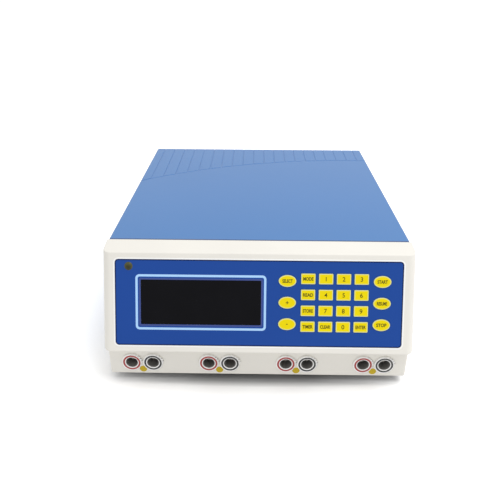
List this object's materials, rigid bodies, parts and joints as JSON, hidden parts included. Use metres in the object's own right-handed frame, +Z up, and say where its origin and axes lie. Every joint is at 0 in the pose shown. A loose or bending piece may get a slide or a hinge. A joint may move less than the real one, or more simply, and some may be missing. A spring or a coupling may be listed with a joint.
{
  "type": "electrophoresis power supply",
  "caption": "Bench power supply for gel electrophoresis: blue ribbed cover, leaning cream front with display and keypad, shrouded output sockets below.",
  "frame": {"origin": "middle of the footprint, on the bench", "axes": "+Z up, front with display and sockets towards -Y, +X to the right of someone facing the front"},
  "size_m": [0.303, 0.364, 0.137],
  "materials": {
    "cover_blue": "satin moulded",
    "case_cream": "fine moulded grain",
    "rear_panel_paint": "powder coat",
    "foot_rubber": "matt",
    "zinc_steel": "zinc plated",
    "overlay_blue": "printed film, fine texture",
    "window_tint": "polished",
    "display_glass": "polished",
    "board_green": "solder mask",
    "black_moulding": "moulded",
    "lamp_lens": "polished",
    "socket_white": "moulded",
    "ring_red": "moulded",
    "ring_black": "moulded",
    "plated_contact": "nickel plated",
    "wire_red": "smooth",
    "terminal_green": "moulded",
    "capacitor_sleeve": "shrink sleeve",
    "sink_aluminium": "extruded",
    "core_steel": "varnished laminations",
    "coil_tape": "insulating tape",
    "ribbon_grey": "ribbed",
    "fuse_glass": "polished",
    "rocker_red": "moulded",
    "guard_chrome": "bright",
    "key_yellow": "printed film"
  },
  "bodies": {
    "case": {"base_shell": "case_cream", "black_rings": "ring_black", "board_screws": "zinc_steel", "case_screws": "zinc_steel", "display_module": "display_glass", "display_window": "window_tint", "fan_frame": "black_moulding", "fan_guard": "guard_chrome", "filter_capacitors": "capacitor_sleeve", "front_bezel": "case_cream", "front_board": "board_green", "heatsinks": "sink_aluminium", "indicator_lamp": "lamp_lens", "inlet_pins": "plated_contact", "key_switches": "black_moulding", "mains_inlet": "black_moulding", "mains_wires": "wire_red", "output_wires": "wire_red", "panel_overlay": "overlay_blue", "power_board": "board_green", "power_transistors": "black_moulding", "rear_panel": "rear_panel_paint", "red_rings": "ring_red", "ribbon_cable": "ribbon_grey", "rubber_feet": "foot_rubber", "socket_bodies": "socket_white", "socket_contacts": "plated_contact", "socket_nuts": "plated_contact", "switch_housing": "black_moulding", "terminal_blocks": "terminal_green", "top_cover": "cover_blue", "transformer_bolts": "zinc_steel", "transformer_coil": "coil_tape", "transformer_core": "core_steel"},
    "key_0": {"key_0": "key_yellow"},
    "key_1": {"key_1": "key_yellow"},
    "key_2": {"key_2": "key_yellow"},
    "key_3": {"key_3": "key_yellow"},
    "key_4": {"key_4": "key_yellow"},
    "key_5": {"key_5": "key_yellow"},
    "key_6": {"key_6": "key_yellow"},
    "key_7": {"key_7": "key_yellow"},
    "key_8": {"key_8": "key_yellow"},
    "key_9": {"key_9": "key_yellow"},
    "key_clear": {"key_clear": "key_yellow"},
    "key_confirm": {"key_confirm": "key_yellow"},
    "key_minus": {"key_minus": "key_yellow"},
    "key_mode": {"key_mode": "key_yellow"},
    "key_plus": {"key_plus": "key_yellow"},
    "key_read": {"key_read": "key_yellow"},
    "key_resume": {"key_resume": "key_yellow"},
    "key_select": {"key_select": "key_yellow"},
    "key_start": {"key_start": "key_yellow"},
    "key_stop": {"key_stop": "key_yellow"},
    "key_store": {"key_store": "key_yellow"},
    "key_timer": {"key_timer": "key_yellow"},
    "power_rocker": {"power_rocker": "rocker_red"},
    "fan_rotor": {"fan_rotor": "black_moulding"},
    "fuse_drawer": {"fuse_drawer": "black_moulding", "fuses": "fuse_glass"}
  },
  "joints": [
    {"name": "key_0_press", "type": "slide", "parent": "case", "child": "key_0", "axis": [0, 0.9252, -0.3795], "range_m": [0, 0.0005], "stiffness_N_per_m": 800},
    {"name": "key_1_press", "type": "slide", "parent": "case", "child": "key_1", "axis": [0, 0.9252, -0.3795], "range_m": [0, 0.0005], "stiffness_N_per_m": 800},
    {"name": "key_2_press", "type": "slide", "parent": "case", "child": "key_2", "axis": [0, 0.9252, -0.3795], "range_m": [0, 0.0005], "stiffness_N_per_m": 800},
    {"name": "key_3_press", "type": "slide", "parent": "case", "child": "key_3", "axis": [0, 0.9252, -0.3795], "range_m": [0, 0.0005], "stiffness_N_per_m": 800},
    {"name": "key_4_press", "type": "slide", "parent": "case", "child": "key_4", "axis": [0, 0.9252, -0.3795], "range_m": [0, 0.0005], "stiffness_N_per_m": 800},
    {"name": "key_5_press", "type": "slide", "parent": "case", "child": "key_5", "axis": [0, 0.9252, -0.3795], "range_m": [0, 0.0005], "stiffness_N_per_m": 800},
    {"name": "key_6_press", "type": "slide", "parent": "case", "child": "key_6", "axis": [0, 0.9252, -0.3795], "range_m": [0, 0.0005], "stiffness_N_per_m": 800},
    {"name": "key_7_press", "type": "slide", "parent": "case", "child": "key_7", "axis": [0, 0.9252, -0.3795], "range_m": [0, 0.0005], "stiffness_N_per_m": 800},
    {"name": "key_8_press", "type": "slide", "parent": "case", "child": "key_8", "axis": [0, 0.9252, -0.3795], "range_m": [0, 0.0005], "stiffness_N_per_m": 800},
    {"name": "key_9_press", "type": "slide", "parent": "case", "child": "key_9", "axis": [0, 0.9252, -0.3795], "range_m": [0, 0.0005], "stiffness_N_per_m": 800},
    {"name": "key_clear_press", "type": "slide", "parent": "case", "child": "key_clear", "axis": [0, 0.9252, -0.3795], "range_m": [0, 0.0005], "stiffness_N_per_m": 800},
    {"name": "key_confirm_press", "type": "slide", "parent": "case", "child": "key_confirm", "axis": [0, 0.9252, -0.3795], "range_m": [0, 0.0005], "stiffness_N_per_m": 800},
    {"name": "key_minus_press", "type": "slide", "parent": "case", "child": "key_minus", "axis": [0, 0.9252, -0.3795], "range_m": [0, 0.0005], "stiffness_N_per_m": 800},
    {"name": "key_mode_press", "type": "slide", "parent": "case", "child": "key_mode", "axis": [0, 0.9252, -0.3795], "range_m": [0, 0.0005], "stiffness_N_per_m": 800},
    {"name": "key_plus_press", "type": "slide", "parent": "case", "child": "key_plus", "axis": [0, 0.9252, -0.3795], "range_m": [0, 0.0005], "stiffness_N_per_m": 800},
    {"name": "key_read_press", "type": "slide", "parent": "case", "child": "key_read", "axis": [0, 0.9252, -0.3795], "range_m": [0, 0.0005], "stiffness_N_per_m": 800},
    {"name": "key_resume_press", "type": "slide", "parent": "case", "child": "key_resume", "axis": [0, 0.9252, -0.3795], "range_m": [0, 0.0005], "stiffness_N_per_m": 800},
    {"name": "key_select_press", "type": "slide", "parent": "case", "child": "key_select", "axis": [0, 0.9252, -0.3795], "range_m": [0, 0.0005], "stiffness_N_per_m": 800},
    {"name": "key_start_press", "type": "slide", "parent": "case", "child": "key_start", "axis": [0, 0.9252, -0.3795], "range_m": [0, 0.0005], "stiffness_N_per_m": 800},
    {"name": "key_stop_press", "type": "slide", "parent": "case", "child": "key_stop", "axis": [0, 0.9252, -0.3795], "range_m": [0, 0.0005], "stiffness_N_per_m": 800},
    {"name": "key_store_press", "type": "slide", "parent": "case", "child": "key_store", "axis": [0, 0.9252, -0.3795], "range_m": [0, 0.0005], "stiffness_N_per_m": 800},
    {"name": "key_timer_press", "type": "slide", "parent": "case", "child": "key_timer", "axis": [0, 0.9252, -0.3795], "range_m": [0, 0.0005], "stiffness_N_per_m": 800},
    {"name": "power_rocker_tilt", "type": "hinge", "parent": "case", "child": "power_rocker", "pos_m": [-0.04, 0.175, 0.062], "axis": [1, 0, 0], "range_deg": [0, 16]},
    {"name": "fan_spin", "type": "hinge", "parent": "case", "child": "fan_rotor", "pos_m": [0.088, 0.1615, 0.073], "axis": [0, 1, 0], "continuous": true},
    {"name": "fuse_drawer_pull", "type": "slide", "parent": "case", "child": "fuse_drawer", "axis": [0, 1, 0], "range_m": [0, 0.016]}
  ]
}
